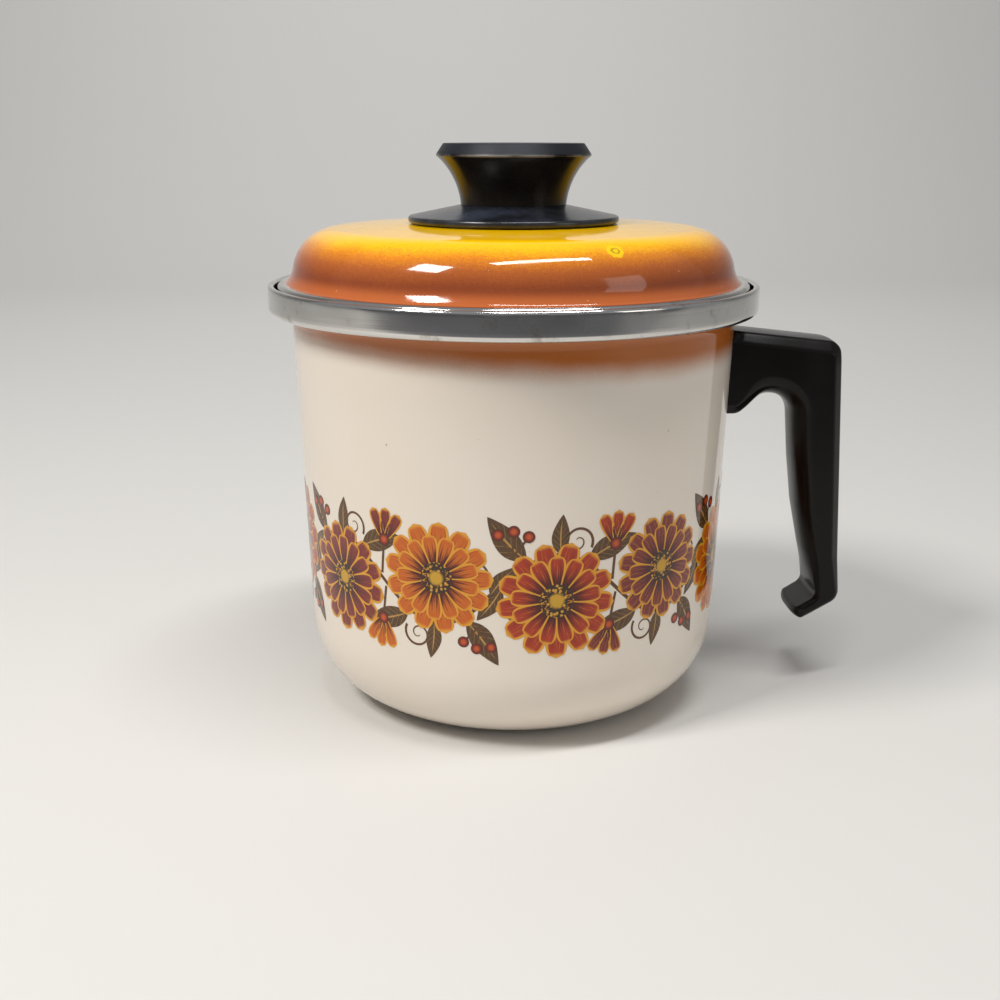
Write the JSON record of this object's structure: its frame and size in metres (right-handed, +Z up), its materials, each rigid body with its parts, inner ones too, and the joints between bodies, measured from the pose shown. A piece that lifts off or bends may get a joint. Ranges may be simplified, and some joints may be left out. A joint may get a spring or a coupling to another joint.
{
  "type": "lidded enamel pot",
  "caption": "Tapered enamel saucepot with a steel-banded rim, a loose domed lid with a spool knob, and one hooked side handle.",
  "frame": {"origin": "on the pot's axis, in the plane of its flat base", "axes": "+Z up along the pot's axis, +X out through the handle"},
  "size_m": [0.1861, 0.1542, 0.1766],
  "materials": {
    "cream_enamel": "glossy vitreous enamel",
    "amber_enamel": "glossy vitreous enamel, sprayed from yellow to brown",
    "rim_steel": "polished stainless strip",
    "black_moulding": "polished phenolic moulding",
    "strap_steel": "plain pressed steel",
    "fastener_steel": "bright zinc plate",
    "insert_brass": "machined",
    "gasket_rubber": "matt"
  },
  "bodies": {
    "pot": {"pot_shell": "cream_enamel", "pot_rim_band": "rim_steel", "handle": "black_moulding", "handle_bracket": "strap_steel", "bracket_nut": "fastener_steel", "handle_screw": "fastener_steel", "handle_washer": "fastener_steel"},
    "lid": {"lid_shell": "amber_enamel", "lid_rim_band": "rim_steel", "knob_base": "black_moulding", "knob": "black_moulding", "knob_insert": "insert_brass", "knob_gasket": "gasket_rubber", "knob_washer": "fastener_steel", "knob_screw": "fastener_steel"}
  },
  "joints": [
    {"name": "lid_lift", "type": "slide", "parent": "pot", "child": "lid", "axis": [0, 0, 1], "range_m": [0, 0.12]}
  ]
}
